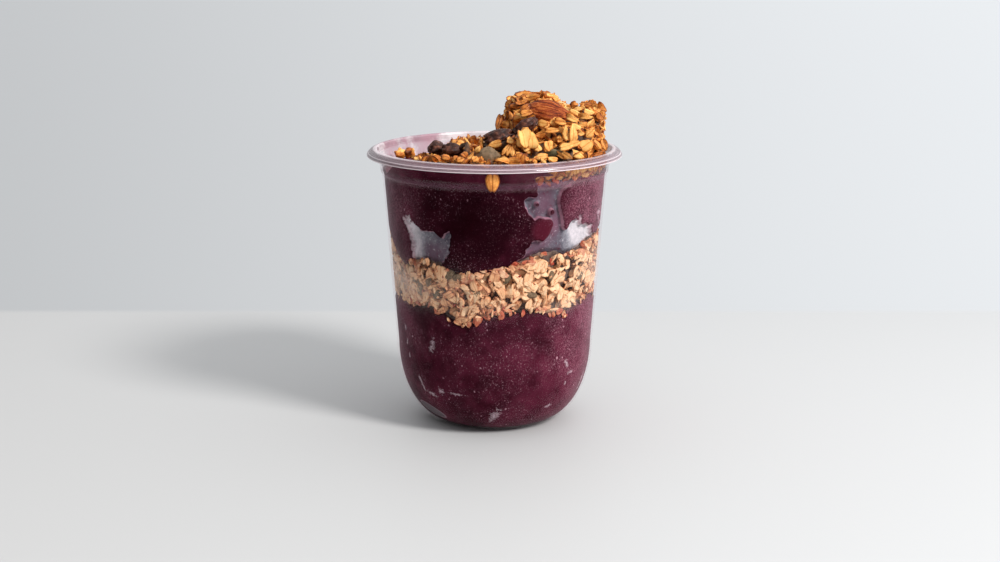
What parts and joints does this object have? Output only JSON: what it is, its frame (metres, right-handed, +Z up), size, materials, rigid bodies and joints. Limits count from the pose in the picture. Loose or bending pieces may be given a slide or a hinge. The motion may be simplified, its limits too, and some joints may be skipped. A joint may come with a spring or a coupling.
{
  "type": "acai bowl",
  "caption": "Clear round-bottomed plastic cup of frozen acai with a granola layer in the middle and a heap of granola, almond, raisins and seeds on top.",
  "frame": {"origin": "middle of the cup's foot, in the plane of the foot ring", "axes": "+Z up along the cup's axis; the front, where an oat flake clings under the lip, faces -Y; the high side of the heap is at +X"},
  "size_m": [0.095, 0.095, 0.1232],
  "materials": {
    "clear_plastic": "clear, thin-walled, glossy",
    "frozen_acai": "dense frozen fruit puree, dark purple, frosted where it meets the wall",
    "granola": "toasted rolled oats with honey glaze",
    "almond_skin": "brown skin with long grooves",
    "raisin_skin": "wrinkled, slightly sticky",
    "pumpkin_seed_skin": "smooth grey-green"
  },
  "bodies": {
    "root": {"cup": "clear_plastic", "acai_lower": "frozen_acai", "granola_middle": "granola", "acai_upper": "frozen_acai", "granola_top": "granola", "almond": "almond_skin", "raisin_1": "raisin_skin", "raisin_2": "raisin_skin", "raisin_3": "raisin_skin", "raisin_4": "raisin_skin", "pumpkin_seed_1": "pumpkin_seed_skin", "pumpkin_seed_2": "pumpkin_seed_skin", "stray_clump": "granola", "oat_on_wall": "granola"}
  },
  "joints": []
}
